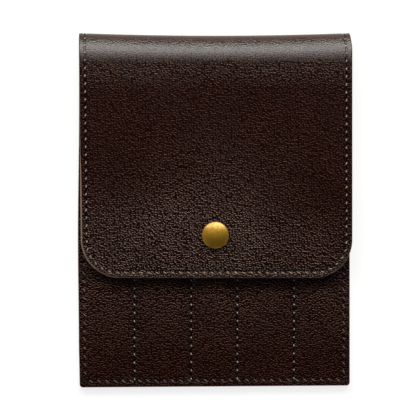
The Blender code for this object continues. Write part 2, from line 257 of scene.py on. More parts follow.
def flapSeamRun(x, along, half, end, radius):
    # Distance along the flap's seam, up from the left end of the sheet, for a point near it
    _, _, turn = roundCorners(x, along, half, end, radius)
    onSide = half - np.abs(x) <= end - along
    side = np.minimum(along, seamStraight) + seamRadius * turn * (along > end - radius)
    bottom = seamStraight + seamRadius * turn + np.clip(seamFlat - np.abs(x), 0, None)
    left = np.where(onSide, side, bottom)
    return np.where(x < 0, left, seamTotal - left)


def flapSeamPoint(run, across):
    # The flat place of a distance along the flap's seam; across is measured inwards
    fromLeft = run <= seamTotal / 2
    near = np.where(fromLeft, run, seamTotal - run)
    turn = np.clip((near - seamStraight) / seamRadius, 0, math.pi / 2)
    bottomPart = np.clip(near - seamStraight - seamRadius * math.pi / 2, 0, None)
    x = bottomPart - seamFlat - (seamRadius - across) * np.cos(turn)
    along = np.minimum(near, seamStraight) + (seamRadius - across) * np.sin(turn)
    return np.where(fromLeft, x, -x), along


def addPiece(name, points, faces, material, marks=None, normals=None):
    # marks are the piece's own coordinates in mm, for its material
    mesh = bpy.data.meshes.new(name)
    mesh.from_pydata((np.asarray(points) * mm).tolist(), [], faces)
    mesh.update()
    for markName, values in (marks or {}).items():
        values = np.asarray(values, np.float32)
        kind = "FLOAT" if values.ndim == 1 else "FLOAT_VECTOR"
        layer = mesh.attributes.new(markName, kind, "POINT")
        layer.data.foreach_set("value" if values.ndim == 1 else "vector", values.ravel())
    mesh.shade_smooth()
    if normals is not None:
        mesh.normals_split_custom_set_from_vertices(normals.tolist())
    mesh.materials.append(material)
    piece = bpy.data.objects.new(name, mesh)
    bpy.context.scene.collection.objects.link(piece)
    return piece


def takePlace(piece, body, node):
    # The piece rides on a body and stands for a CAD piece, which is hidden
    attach(piece, body)
    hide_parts(node)


def layGrid(columns, rows, outer, inner, marks):
    # A sheet with an outer and an inner face on one grid of columns and rows
    wide, tall = len(columns), len(rows)
    index = np.arange(wide * tall).reshape(tall, wide)
    under = index + wide * tall
    face = np.stack([index[:-1, :-1], index[1:, :-1], index[1:, 1:], index[:-1, 1:]], -1)
    back = np.stack([under[:-1, :-1], under[:-1, 1:], under[1:, 1:], under[1:, :-1]], -1)
    left = np.stack([index[:-1, 0], under[:-1, 0], under[1:, 0], index[1:, 0]], -1)
    right = np.stack([index[:-1, -1], index[1:, -1], under[1:, -1], under[:-1, -1]], -1)
    strips = [np.concatenate([face[row], back[row], left[row:row + 1], right[row:row + 1]])
        for row in range(tall - 1)]
    start = np.stack([index[0, :-1], index[0, 1:], under[0, 1:], under[0, :-1]], -1)
    end = np.stack([index[-1, :-1], under[-1, :-1], under[-1, 1:], index[-1, 1:]], -1)
    strips[0] = np.concatenate([strips[0], start])
    strips[-1] = np.concatenate([strips[-1], end])
    points = np.concatenate([outer.reshape(-1, 3), inner.reshape(-1, 3)])
    whole = bpy.data.meshes.new("whole")
    whole.from_pydata((points * mm).tolist(), [], np.concatenate(strips).tolist())
    whole.update()
    normals = np.zeros(len(points) * 3, np.float32)
    whole.vertex_normals.foreach_get("vector", normals)
    bpy.data.meshes.remove(whole)
    return {"rows": rows, "strips": strips, "points": points, "marks": marks,
        "normals": normals.reshape(-1, 3)}


def cutPiece(name, sheet, material, start=None, end=None):
    # One stretch of a sheet; it keeps the whole sheet's normals, so that no seam shows
    first = 0 if start is None else int(np.argmin(np.abs(sheet["rows"] - start)))
    last = len(sheet["strips"]) if end is None else int(np.argmin(np.abs(sheet["rows"] - end)))
    faces = np.concatenate(sheet["strips"][first:last])
    used, renumbered = np.unique(faces, return_inverse=True)
    marks = {name: values[used] for name, values in sheet["marks"].items()}
    return addPiece(name, sheet["points"][used], renumbered.reshape(-1, 4).tolist(), material,
        marks, sheet["normals"][used])


stitchShape = {
    "steps": 9,
    "sides": 8,
    "taper": 0.3,
    "unevenLength": 0.08,  # a share of the length
    "unevenSlant": 0.09,  # radians
    "unevenPlace": 0.07,
}


def sewStitches(name, rows, material):
    # Each stitch is a short thread that comes out of one hole and dives into the next
    def uneven(size, *shape):
        return rng.uniform(-stitchShape[size], stitchShape[size], shape)

    steps, sides = stitchShape["steps"], stitchShape["sides"]
    points, faces, marks = [], [], []
    share = np.linspace(-1, 1, steps)
    angles = np.linspace(0, 2 * math.pi, sides, endpoint=False)
    base = 0
    for runs, place, look in rows:
        count = len(runs)
        half = look["length"] / 2 * (1 + uneven("unevenLength", count, 1))
        slant = math.radians(look["slant"]) + uneven("unevenSlant", count, 1)
        run = np.asarray(runs)[:, None] + share * half * np.cos(slant)
        across = share * half * np.sin(slant) + uneven("unevenPlace", count, 1)
        lift = look["lift"] - look["dive"] * np.abs(share) ** look["bend"] + 0 * run
        centre = place(run, across, lift)
        up = place(run, across, lift + 0.1) - centre
        forward = np.gradient(centre, axis=1)
        forward /= np.linalg.norm(forward, axis=-1, keepdims=True)
        side = np.cross(forward, up)
        side /= np.linalg.norm(side, axis=-1, keepdims=True)
        up = np.cross(side, forward)
        radius = look["radius"] * (1 - stitchShape["taper"] * share ** 4)[None, :, None, None]
        outward = np.cos(angles)[None, None, :, None] * side[:, :, None, :]
        upward = look["flatness"] * np.sin(angles)[None, None, :, None] * up[:, :, None, :]
        made = centre[:, :, None, :] + radius * (outward + upward)
        points.append(made.reshape(-1, 3))
        number = base + np.arange(count * steps * sides).reshape(count, steps, sides)
        base += number.size
        onward = np.roll(number, -1, axis=2)
        quads = np.stack([number[:, :-1], onward[:, :-1], onward[:, 1:], number[:, 1:]], -1)
        faces += quads.reshape(-1, 4).tolist()
        faces += number[:, 0, ::-1].tolist() + number[:, -1].tolist()
        mark = np.zeros((count, steps, sides, 3))
        mark[..., 0] = (share * half)[:, :, None]
        mark[..., 1] = angles
        mark[..., 2] = rng.uniform(0, 1, (count, 1, 1))
        marks.append(mark.reshape(-1, 3))
    return addPiece(name, np.concatenate(points), faces, material,
        {"threadMark": np.concatenate(marks)})


def softProfile(corners, closed=False, steps=7):
    # A turned piece's profile of (radius, height, rounding) corners
    profile = []
    count = len(corners)
    for index, (radius, height, rounding) in enumerate(corners):
        corner = np.array([radius, height], float)
        if rounding == 0 or (not closed and index in (0, count - 1)):
            profile.append(corner)
            continue
        before = np.array(corners[index - 1][:2], float) - corner
        after = np.array(corners[(index + 1) % count][:2], float) - corner
        first = corner + before / np.linalg.norm(before) * rounding
        last = corner + after / np.linalg.norm(after) * rounding
        for share in np.linspace(0, 1, steps):
            turned = 2 * share * (1 - share) * corner
            profile.append((1 - share) ** 2 * first + turned + share ** 2 * last)
    return np.array(profile)


def turnPiece(name, profile, centre, material, closed=False, steps=96, sharpFrom=38):
    angles = np.linspace(0, 2 * math.pi, steps, endpoint=False)
    radius, height = profile[:, 0, None], profile[:, 1, None]
    points = np.stack([centre[0] + radius * np.cos(angles), centre[1] + radius * np.sin(angles),
        centre[2] + height + 0 * angles], -1).reshape(-1, 3)
    count = len(profile)
    number = np.arange(count * steps).reshape(count, steps)
    later = np.roll(number, -1, axis=0) if closed else number[1:]
    rings = number if closed else number[:-1]
    quads = np.stack([rings, later, np.roll(later, -1, axis=1), np.roll(rings, -1, axis=1)], -1)
    piece = addPiece(name, points, quads.reshape(-1, 4).tolist(), material)
    piece.data.set_sharp_from_angle(angle=math.radians(sharpFrom))
    # The rings on the axis become single points
    work = bmesh.new()
    work.from_mesh(piece.data)
    bmesh.ops.remove_doubles(work, verts=work.verts, dist=0.002 * mm)
    bmesh.ops.recalc_face_normals(work, faces=work.faces)
    work.to_mesh(piece.data)
    work.free()
    return piece


def feed(node, inputs):
    # An input takes a value, or a link from a socket or from a node's first output in use. From
    # and To take both ends of a range
    for key, value in inputs.items():
        if key in ("From", "To"):
            feed(node, {key + " Min": value[0], key + " Max": value[1]})
            continue
        if isinstance(value, bpy.types.Node):
            value = next(socket for socket in value.outputs if socket.enabled)
        if isinstance(value, bpy.types.NodeSocket):
            node.id_data.links.new(value, node.inputs[key])
        else:
            node.inputs[key].default_value = value


def addNode(tree, kind, inputs=(), **settings):
    node = tree.nodes.new("ShaderNode" + kind)
    for key, value in settings.items():
        setattr(node, key, value)
    feed(node, dict(inputs))
    return node


def startMaterial(look):
    # The material, its nodes, its shader, and the look's colours as linear values
    material = bpy.data.materials.new(look["name"])
    material.use_nodes = True
    tree = material.node_tree
    tones = {key: linearColour(value) for key, value in look.items()
        if isinstance(value, str) and value.startswith("#")}
    return material, tree, tree.nodes["Principled BSDF"], tones


flapGrain = {
    "name": "milledPebbleCalf",
    "pitColour": "#180401",
    "highlightColour": "#553930",  # painted highlight on one side of each pebble
    # painted highlight where the wear-and-light level is full
    "strongHighlightColour": "#a58d82",
    "bendColour": "#44312a",  # oily leather goes paler where it is stretched
    "coriumColour": "#4a3328",
    "edgeColour": "#b2937f",
    # painted shade in the stitch holes
    "holeShadeColour": "#040202",
    "pebble": 0.9,  # mm across
    "scatter": 0.72,  # 1 leaves the pebbles quite irregular
    "stretch": (0.74, 1.12, 1.0),
    "wander": 1.6,  # how far the pattern strays, in mm
    "dome": (0.8, 0.1),  # from a pebble's rim to its flat top, as shares of its width
    "domeDepth": 0.05,
    "highlightShift": (-0.08, 0.3, 0.0),  # how far along the skin the pebbles are looked up again, in mm, to find the side that takes the painted highlight
    "highlightSpan": (0.22, 0.8),  # falls along the skin that take none and all of the painted highlight
    "wrinkle": 1.15,  # mm across
    "wrinkleDepth": 0.05,
    "relief": (0.55, 1.2),  # times the depths, from the lowest to the highest wear-and-light level
    "patches": (0.85, 1.15),  # times the colour
    "holePitch": 3.7,
    "holeWidth": 0.44,  # half of it
    "holeRim": (1.4, 0.6),  # from outside to inside, in squared shares of the hole's size
    "holeDepth": 0.45,
    "roughness": (0.17, 0.19),
    "edgeRoughness": 0.85,
    "ior": 1.5,
}
# The pocket's leather, with its own grain stretch and its own painted highlight colour and shift
pocketGrain = dict(flapGrain, name="milledPebbleCalfPocket", stretch=(0.72, 1.2, 1.0),
    pitColour="#190401", highlightColour="#50392f", highlightShift=(0.02, 0.3, 0.0))


def makeLeather(look):
    # Aniline calf, drum-milled: small dark pebbles, each with a painted highlight on the side
    # where it falls away along the skin, paler where the wear-and-light level is high, a gloss on
    # the bends, and raw cut edges with a pale, fibrous face
    material, tree, shader, tones = startMaterial(look)
    flat, seam, edge, wear, bend = [addNode(tree, "Attribute", attribute_name=name)
        for name in ("flatPlace", "seamPlace", "rawEdge", "wear", "stretch")]
    skin = flat.outputs["Vector"]
    drift = addNode(tree, "TexNoise", {"Vector": skin, "Scale": 0.3, "Detail": 2.0})
    wander = look["wander"]
    strayed = addNode(tree, "VectorMath", {0: drift.outputs["Color"], 1: (wander, wander, 0),
        2: (-wander / 2, -wander / 2, 0)}, operation="MULTIPLY_ADD")
    moved = addNode(tree, "VectorMath", {0: skin, 1: strayed}, operation="ADD")
    stretched = addNode(tree, "VectorMath", {0: moved, 1: look["stretch"]}, operation="MULTIPLY")
    # Pebbles: low domes with narrow valleys between them, here and a little further up the skin
    upward = addNode(tree, "VectorMath", {0: stretched, 1: look["highlightShift"]}, operation="ADD")
    domes = []
    for place in (stretched, upward):
        cells = addNode(tree, "TexVoronoi", {"Vector": place, "Scale": 1 / look["pebble"],
            "Randomness": look["scatter"]}, feature="F1", voronoi_dimensions="2D")
        domes.append(addNode(tree, "MapRange", {"Value": cells.outputs["Distance"],
            "From": look["dome"]}, interpolation_type="SMOOTHERSTEP"))
    # Painted highlight: each pebble is paler where it falls away along the skin, like the lit side
    # of a raised pebble
    fall = addNode(tree, "Math", {0: domes[0], 1: domes[1]}, operation="SUBTRACT")
    paintedHighlight = addNode(tree, "MapRange", {"Value": fall, "From": look["highlightSpan"]},
        interpolation_type="SMOOTHSTEP")
    # Hair-fine wrinkles across them
    wrinkles = addNode(tree, "TexNoise", {"Vector": stretched, "Scale": 1 / look["wrinkle"],
        "Detail": 0.0}, noise_dimensions="2D")
    fromCrest = addNode(tree, "Math", {0: wrinkles, 1: 0.5}, operation="SUBTRACT")
    belowCrest = addNode(tree, "Math", {0: fromCrest}, operation="ABSOLUTE")
    # The grain stands up more where the wear-and-light level is high
    reliefLevel = addNode(tree, "MapRange", {"Value": wear.outputs["Fac"], "To": look["relief"]},
        clamp=False)
    # Stitch holes, one for each pitch of the seam
    split = addNode(tree, "SeparateXYZ", {"Vector": seam.outputs["Vector"]})
    phase = addNode(tree, "Math", {0: split.outputs["Y"]}, operation="FRACT")
    centred = addNode(tree, "Math", {0: phase, 1: 0.5}, operation="SUBTRACT")
    alongHole = addNode(tree, "Math", {0: centred, 1: look["holePitch"]}, operation="MULTIPLY")
    alongShare = addNode(tree, "Math", {0: alongHole, 1: split.outputs["Z"]}, operation="DIVIDE")
    acrossShare = addNode(tree, "Math", {0: split.outputs["X"], 1: look["holeWidth"]},
        operation="DIVIDE")
    alongSquare = addNode(tree, "Math", {0: alongShare, 1: alongShare}, operation="MULTIPLY")
    holeSquare = addNode(tree, "Math", {0: acrossShare, 1: acrossShare, 2: alongSquare},
        operation="MULTIPLY_ADD")
    hole = addNode(tree, "MapRange", {"Value": holeSquare, "From": look["holeRim"]},
        interpolation_type="SMOOTHSTEP")
    # Height in mm
    domeHeight = addNode(tree, "Math", {0: domes[0], 1: look["domeDepth"]}, operation="MULTIPLY")
    grainHeight = addNode(tree, "Math", {0: belowCrest, 1: -look["wrinkleDepth"], 2: domeHeight},
        operation="MULTIPLY_ADD")
    relief = addNode(tree, "Math", {0: grainHeight, 1: reliefLevel}, operation="MULTIPLY")
    crestSpan = (0.3 * look["domeDepth"] - 0.18 * look["wrinkleDepth"], 0.95 * look["domeDepth"])
    crest = addNode(tree, "MapRange", {"Value": grainHeight, "From": crestSpan},
        interpolation_type="SMOOTHSTEP")
    holeHeight = addNode(tree, "Math", {0: hole, 1: -look["holeDepth"], 2: relief},
        operation="MULTIPLY_ADD")
    bump = addNode(tree, "Bump", {"Strength": 1.0, "Distance": mm, "Height": holeHeight})
    # Colour: dark, with the painted highlight paler where the wear-and-light level is high, and
    # patchy over some centimetres
    patches = addNode(tree, "TexNoise", {"Vector": skin, "Scale": 0.055, "Detail": 3.0})
    patchLevel = addNode(tree, "MapRange", {"Value": patches, "From": (0.3, 0.7),
        "To": look["patches"]})
    highlightTone = addNode(tree, "Mix", {0: wear.outputs["Fac"], 6: tones["highlightColour"],
        7: tones["strongHighlightColour"]}, data_type="RGBA")
    tone = addNode(tree, "Mix", {0: paintedHighlight, 6: tones["pitColour"], 7: highlightTone}, data_type="RGBA")
    bent = addNode(tree, "Mix", {0: bend.outputs["Fac"], 6: tone, 7: tones["bendColour"]},
        data_type="RGBA")
    patched = addNode(tree, "Mix", {0: 1.0, 6: bent, 7: patchLevel}, data_type="RGBA",
        blend_type="MULTIPLY")
    # The cut edge shows the pale corium, with fibres a tenth of a mm thick; a little of the same
    # colour is painted on the flap's lower lip as a highlight
    fibres = addNode(tree, "TexNoise", {"Vector": skin, "Scale": 3.2, "Detail": 4.0})
    edgeTone = addNode(tree, "Mix", {0: fibres, 6: tones["coriumColour"], 7: tones["edgeColour"]},
        data_type="RGBA")
    withEdge = addNode(tree, "Mix", {0: edge.outputs["Fac"], 6: patched, 7: edgeTone},
        data_type="RGBA")
    # Painted shade: the stitch holes are near black
    withHoleShade = addNode(tree, "Mix", {0: hole, 6: withEdge, 7: tones["holeShadeColour"]},
        data_type="RGBA")
    dull = addNode(tree, "MapRange", {"Value": crest, "To": look["roughness"][::-1]})
    rough = addNode(tree, "Mix", {0: edge.outputs["Fac"], 2: dull, 3: look["edgeRoughness"]})
    feed(shader, {"Base Color": withHoleShade, "Roughness": rough, "Normal": bump, "IOR": look["ior"]})
    return material


suedeLook = {
    "name": "splitSuede",
    "shade": "#3a2519",
    "light": "#5a3d2b",
    "cut": "#6b4d3b",
    "nap": 0.35,  # mm; real nap is finer, drawn coarse enough to show
    "napDepth": 0.12,
    "stroke": (1.0, 0.45, 1.0),
    "roughness": 0.95,
    "sheen": 0.25,
    "sheenRoughness": 0.5,
    "specular": 0.25,
}


def makeSuede(look):
    # Thin split hide, buffed to a short nap: quite dull, with soft lighter and darker strokes
    # where the nap has been brushed one way or the other
    material, tree, shader, tones = startMaterial(look)
    flat = addNode(tree, "Attribute", attribute_name="flatPlace")
    edge = addNode(tree, "Attribute", attribute_name="rawEdge")
    skin = flat.outputs["Vector"]
    nap = addNode(tree, "TexNoise", {"Vector": skin, "Scale": 1 / look["nap"], "Detail": 3.0,
        "Roughness": 0.65})
    strokePlace = addNode(tree, "VectorMath", {0: skin, 1: look["stroke"]}, operation="MULTIPLY")
    strokes = addNode(tree, "TexNoise", {"Vector": strokePlace, "Scale": 0.09, "Detail": 4.0,
        "Distortion": 0.6})
    strokeLevel = addNode(tree, "MapRange", {"Value": strokes, "From": (0.35, 0.65)})
    both = addNode(tree, "Math", {0: nap, 1: 0.55, 2: -0.12}, operation="MULTIPLY_ADD")
    level = addNode(tree, "Math", {0: strokeLevel, 1: 0.5, 2: both}, operation="MULTIPLY_ADD",
        use_clamp=True)
    tone = addNode(tree, "Mix", {0: level, 6: tones["shade"], 7: tones["light"]}, data_type="RGBA")
    withEdge = addNode(tree, "Mix", {0: edge.outputs["Fac"], 6: tone, 7: tones["cut"]},
        data_type="RGBA")
    bump = addNode(tree, "Bump", {"Strength": 0.8, "Distance": look["napDepth"] * mm,
        "Height": nap})
    feed(shader, {"Base Color": withEdge, "Normal": bump, "Roughness": look["roughness"],
        "Sheen Weight": look["sheen"], "Sheen Roughness": look["sheenRoughness"],
        "Specular IOR Level": look["specular"]})
    return material


threadLook = {
    "name": "waxedLinenThread",
    "dark": "#6b5d54",
    "light": "#b3a497",
    "twist": 0.8,  # mm for one turn of the plies
    "plyDepth": 0.06,
    "roughness": 0.5,
}


def makeThread(look):
    # Three-ply linen, twisted and waxed: painted shade and highlight along the twist of the
    # plies, whose ridges also break the soft shine, and a tone of its own for each stitch
    material, tree, shader, tones = startMaterial(look)
    mark = addNode(tree, "Attribute", attribute_name="threadMark")
    split = addNode(tree, "SeparateXYZ", {"Vector": mark.outputs["Vector"]})
    turns = addNode(tree, "Math", {0: split.outputs["X"], 1: 2 * math.pi / look["twist"],
        2: split.outputs["Y"]}, operation="MULTIPLY_ADD")
    ply = addNode(tree, "Math", {0: turns}, operation="SINE")
    # Painted shade and highlight: the colour goes darker and lighter with the twist
    plyShade = addNode(tree, "Math", {0: ply, 1: 0.3, 2: 0.35}, operation="MULTIPLY_ADD")
    level = addNode(tree, "Math", {0: split.outputs["Z"], 1: 0.35, 2: plyShade},
        operation="MULTIPLY_ADD", use_clamp=True)
    tone = addNode(tree, "Mix", {0: level, 6: tones["dark"], 7: tones["light"]}, data_type="RGBA")
    bump = addNode(tree, "Bump", {"Strength": 0.7, "Distance": look["plyDepth"] * mm,
        "Height": ply})
    feed(shader, {"Base Color": tone, "Normal": bump, "Roughness": look["roughness"]})
    return material


brassLook = {
    "name": "polishedBrass",
    "bright": "#be9430",
    "worn": "#9b7422",
    "tarnish": (0.42, 0.68),  # levels of the noise from clean to tarnished
    "marks": (350, 2600, 350),  # to a metre: half a mm apart, so that some show
    "marksTurn": 0.7,
    "markDepth": 0.02,
    "roughness": (0.47, 0.56),
    "lacquer": 1.0,
    "lacquerRoughness": 0.22,
}


def makeBrass(look):
    # Pressed brass sheet, tumbled bright and lacquered: deep yellow under paler highlights, with
    # fine handling marks and a little brown tarnish that dulls it in patches
    material, tree, shader, tones = startMaterial(look)
    place = addNode(tree, "TexCoord").outputs["Object"]
    tarnish = addNode(tree, "TexNoise", {"Vector": place, "Scale": 380.0, "Detail": 4.0,
        "Distortion": 0.8})
    marksPlace = addNode(tree, "Mapping", {"Vector": place, "Rotation": (0, 0, look["marksTurn"]),
        "Scale": look["marks"]})
    rubbing = addNode(tree, "TexNoise", {"Vector": marksPlace, "Scale": 1.0, "Detail": 3.0})
    level = addNode(tree, "MapRange", {"Value": tarnish, "From": look["tarnish"]})
    tone = addNode(tree, "Mix", {0: level, 6: tones["bright"], 7: tones["worn"]}, data_type="RGBA")
    rough = addNode(tree, "MapRange", {"Value": level, "To": look["roughness"]})
    bump = addNode(tree, "Bump", {"Strength": 0.35, "Distance": look["markDepth"] * mm,
        "Height": rubbing})
    feed(shader, {"Base Color": tone, "Roughness": rough, "Normal": bump, "Metallic": 1,
        "Coat Weight": look["lacquer"], "Coat Roughness": look["lacquerRoughness"]})
    return material


steelLook = {
    "name": "drawnSpringSteel",
    "grey": "#b4b3b0",
    "lines": 4000.0,  # to a metre
    "roughness": (0.2, 0.4),
}


def makeSpringSteel(look):
    # Drawn spring wire: grey, with fine lines along it left by the die
    material, tree, shader, tones = startMaterial(look)
    place = addNode(tree, "TexCoord").outputs["Object"]
    lines = addNode(tree, "TexNoise", {"Vector": place, "Scale": look["lines"], "Detail": 2.0})
    rough = addNode(tree, "MapRange", {"Value": lines, "To": look["roughness"]})
    feed(shader, {"Roughness": rough, "Base Color": tones["grey"], "Metallic": 1})
    return material


flapCalf = makeLeather(flapGrain)
pocketCalf = makeLeather(pocketGrain)
suede = makeSuede(suedeLook)
thread = makeThread(threadLook)
darkThread = makeThread(dict(threadLook, name="waxedLinenThreadDark", dark="#372b25",
    light="#7c6b60"))
brass = makeBrass(brassLook)
springSteel = makeSpringSteel(steelLook)
print("materials made")


# The outer leather is one sheet from the back round the fold to the flap
outerSheet = {
    "edgeInsets": (0, 0.1, 0.2, 0.32, 0.45, 0.58, 0.75, 1.0, 1.35, 1.75, 2.1, 2.4, 2.7, 3.0,
                   3.3, 3.7, 4.3, 5.0),
    "step": 1.0,
    "foldStep": 0.42,
    "foldRows": (156.0, 184.0),
    "clearOfTurns": 0.2,  # no row of the fold comes nearer to where two bodies meet
    "groove": 0.28,  # how far the stitches pull the leather in
    "backGroove": 0.5,  # deeper, so that the thread doesn't wear on the table
    "grooveWidth": 0.8,
    "edgeRoll": 0.2,
    "rollWidth": 0.6,
    "edgeCut": 0.75,
    "cutWidth": 0.12,  # of the cut face that shows from outside, at the sides
    "endCutWidth": 0.13,
    "leftLean": 0.42,  # the knife leaned on the flap's left edge
    "leftLeanSpan": (218, 240),
    "endLean": 0.38,
    "endLeanSpan": (-30, -52),
    "cutBlur": 0.08,
    "liningRoll": 0.15,
    "liningRollWidth": 0.4,
    "holeLength": 1.15,  # half of it, in mm
    "lowerSpan": (16, 8),  # from the flap's lower edge, where the next values take over
    "lowerHole": 0.8,
    "lowerShift": 0.5,
    "lowerRaise": 0.66,
    "lowerFlat": 0.6,  # how much flatter the seam lies
    "lipHighlight": 0.035,  # how much of the raw edge's pale colour is painted on the lip as a highlight
    "lipHighlightSpan": (2.3, 1.6),
    "bendPale": 0.82,  # how pale the stretched leather goes on the fold
    "bendFrom": (157, 163),
    "bendTo": (170.6, 168.0),
}


def cutEdge(edge, slope, look):
    # How far the leather falls away towards its cut, and how much of the cut face shows
    width, blur = outerSheet["rollWidth"], outerSheet["cutBlur"]
    roll = look["edgeRoll"] * np.clip((slope + width - edge) / width, 0, 1) ** 2
    drop = look["edgeCut"] * np.clip(1 - edge / slope, 0, 1) + roll
    return drop, smooth(slope + blur - edge, 0, 2 * blur)


def markFaces(x, y, depths, seamPlace, rawEdge, wear, stretch):
    # The marks of an outer and an inner face
    faces = [np.stack([x, y, 0 * x + depth], -1) for depth in depths]
    return {
        "flatPlace": np.concatenate(faces).reshape(-1, 3),
        "seamPlace": np.concatenate([np.stack(seamPlace, -1).reshape(-1, 3)] * 2),
        "rawEdge": rawEdge,
        "wear": np.tile(wear.ravel(), 2),
        "stretch": np.tile(stretch.ravel(), 2),
    }


def makeSheetGrid(look, inset, low, high, outerFace):
    half = caseShape["halfWidth"] - inset
    end = sheetLength - inset
    insets = np.array(look["edgeInsets"])
    columns = fillBetween(np.concatenate([-half + insets, half - insets]), look["step"])
    turns = list(turnStarts.values())
    foldMarks = [mark for mark in np.arange(*look["foldRows"], look["foldStep"])
        if min(abs(mark - turn) for turn in turns) > look["clearOfTurns"]]
    rows = fillBetween(np.concatenate([inset + insets, end - insets, foldMarks, turns]),
        look["step"])
    x, along = np.meshgrid(columns, rows)
    fromSide = half - np.abs(x)
    fromEnd = np.minimum(end - along, along - inset)
    edge = np.minimum(fromSide, fromEnd)
    onSide = fromSide <= fromEnd
    onFlap = along > caseShape["flapFrom"]
    # The seam's own coordinates, for the stitch holes: long holes up the sides, and along the
    # flap's lower edge short ones, at the stitches' upper ends
    seamInset = caseShape["seamInset"] - inset
    flapCorner = caseShape["flapCorner"] - inset
    flapRun = flapSeamRun(x, along, half, end, flapCorner)
    flapPhase = (flapRun - flapSeam["firstHole"]) / flapSeam["pitch"] + 0.5
    backPhase = np.where(onSide, along, x) / backSeam["pitch"] + 0.5
    lower = smooth(sheetLength - along, *look["lowerSpan"])
    phase = np.where(onFlap, flapPhase, backPhase)
    phase = phase - look["lowerShift"] / flapSeam["pitch"] * lower
    holeLength = look["holeLength"] + (look["lowerHole"] - look["holeLength"]) * lower
    seamPlace = (edge - seamInset - look["lowerRaise"] * lower, phase, holeLength)
    flatX, flatAlong, _ = roundCorners(x, along, half, end, flapCorner)
    backCorner = caseShape["backCorner"] - inset
    flatX, flatAlong, _ = roundCorners(flatX, -flatAlong, half, -inset, backCorner)
    flatAlong = -flatAlong
    sideLean = look["leftLean"] * smooth(along, *look["leftLeanSpan"]) * (x < 0)
    endLean = look["endLean"] * smooth(x, *look["endLeanSpan"]) * onFlap
    slope = np.where(onSide, look["cutWidth"] + sideLean, look["endCutWidth"] + endLean)
    drop, raw = cutEdge(edge, slope, look)
    groove = np.where(onFlap, look["groove"], look["backGroove"])
    groove = groove * np.exp(-((edge - seamInset) / look["grooveWidth"]) ** 2)
    groove = groove * (1 - look["lowerFlat"] * lower)
    if outerFace:
        outerDepth, innerDepth = low + drop + groove, high + 0 * x
        # Painted highlight: the flap's lower lip takes a little of the raw edge's pale colour
        raw = np.maximum(raw, look["lipHighlight"] * smooth(edge, *look["lipHighlightSpan"]) * lower)
        rawEdge = np.concatenate([raw.ravel(), np.ones(x.size)])
    else:
        roll = look["liningRoll"] * np.clip(1 - edge / look["liningRollWidth"], 0, 1)
        outerDepth, innerDepth = low + 0 * x, high - roll - groove
        rawEdge = np.tile((edge < 0.05).ravel().astype(float), 2)
    stretch = look["bendPale"] * smooth(along, *look["bendFrom"]) * smooth(along, *look["bendTo"])
    marks = markFaces(flatX, flatAlong, (low, high), seamPlace, rawEdge,
        wearAndLightOf(flatX, flatAlong), stretch)
    outer, inner = [placeSheet(flatX, flatAlong, depth) for depth in (outerDepth, innerDepth)]
    return layGrid(columns, rows, outer, inner, marks)


leatherSheet = makeSheetGrid(outerSheet, 0.0, 0.0, caseShape["leather"], True)
liningSheet = makeSheetGrid(outerSheet, caseShape["liningInset"], caseShape["liningTop"],
    caseShape["wall"], False)


bends = (
    ("Lower", "case_body", "fold_1", turnStarts["first"], turnStarts["second"]),
    ("Outer", "fold_1", "fold_2", turnStarts["second"], turnStarts["third"]),
    ("Upper", "fold_2", "flap", turnStarts["third"], turnStarts["end"]),
)
stoodFor = {"Lower": "1", "Outer": "2"}  # the CAD has its own pieces for these two


def bridgeBend(piece, bend, depth, slot, *nodes):
    # Sets the piece's place into its mesh, and hides the CAD pieces for this bend where the CAD
    # has its own
    title, below, above, *places = bend
    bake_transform(piece)
    if title in stoodFor:
        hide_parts(*[node + stoodFor[title] for node in nodes])


backLeather = cutPiece("backLeather", leatherSheet, flapCalf, end=turnStarts["first"])
takePlace(backLeather, "case_body", "back_panel")
backLining = cutPiece("backLining", liningSheet, suede, end=turnStarts["first"])
takePlace(backLining, "case_body", "back_lining")
flapPanel = cutPiece("flapLeather", leatherSheet, flapCalf, start=turnStarts["end"])
takePlace(flapPanel, "flap", "flap_panel")
flapLining = cutPiece("flapLining", liningSheet, suede, start=turnStarts["end"])
takePlace(flapLining, "flap", "flap_lining")
for bend in bends:
    title, _, _, *places = bend
    leatherBend = cutPiece("foldLeather" + title, leatherSheet, flapCalf, *places)
    bridgeBend(leatherBend, bend, caseShape["leather"] / 2, "leather", "fold_leather_")
    liningBend = cutPiece("foldLining" + title, liningSheet, suede, *places)
    liningDepth = (caseShape["liningTop"] + caseShape["wall"]) / 2
    bridgeBend(liningBend, bend, liningDepth, "lining", "fold_lining_")
print("leather and lining laid round the fold")


pocketShape = {
    "mouthY": 29.0,
    "low": 2.13,  # underside where it is sewn down
    "leather": 1.2,
    "rise": 4.4,
    "flat": 1.0,  # beside each row of stitches
    "dividers": (-36.5, -10.55, 10.55, 36.5),
    "lowSwell": 0.2,  # this share of the rise comes low down, the rest under the flap
    "lowSpan": (-77.3, -60),
    "highSpan": (-40, -8.4),
    "lateShift": (16, 4.4),  # added to it near the sides, which stay flat below the flap
    "lateSpan": (45, 55),
    "seatTop": 4.5,  # the stud holds the leather down round it
    "seatRadius": 7.0,
    "seatSlope": 0.45,
    "seatBlend": 0.25,
    "groove": 0.32,
    "grooveWidth": 0.75,
    "lowerGroove": 0.4,  # the lower seam is pulled in less, by this share
    "lowerSpan": (-77.5, -74.5),
    "edgeRoll": 0.18,
    "edgeCut": 0.7,
    "cutWidth": 0.14,
    "nearLines": (0, 0.3, 0.6, 0.9, 1.3, 1.8, 2.4),
    "mouthRows": 8,
    "step": 0.95,
    "holeLength": 1.3,
    "wrinkle": 0.06,
    "wrinkleSpan": (3, 9),  # from the edge
    "grainDepth": 30.0,  # another stretch of the hide's patches than the flap's
    # wear and painted light: the pocket's painted highlight paler up towards the flap, darker
    # towards the bottom
    "wear": (0.1, 0.3),
    "wearAndLightSpan": (-75, -32),
}
seamHalf = caseShape["halfWidth"] - caseShape["seamInset"]
seamBottom = caseShape["bottomY"] + caseShape["seamInset"]


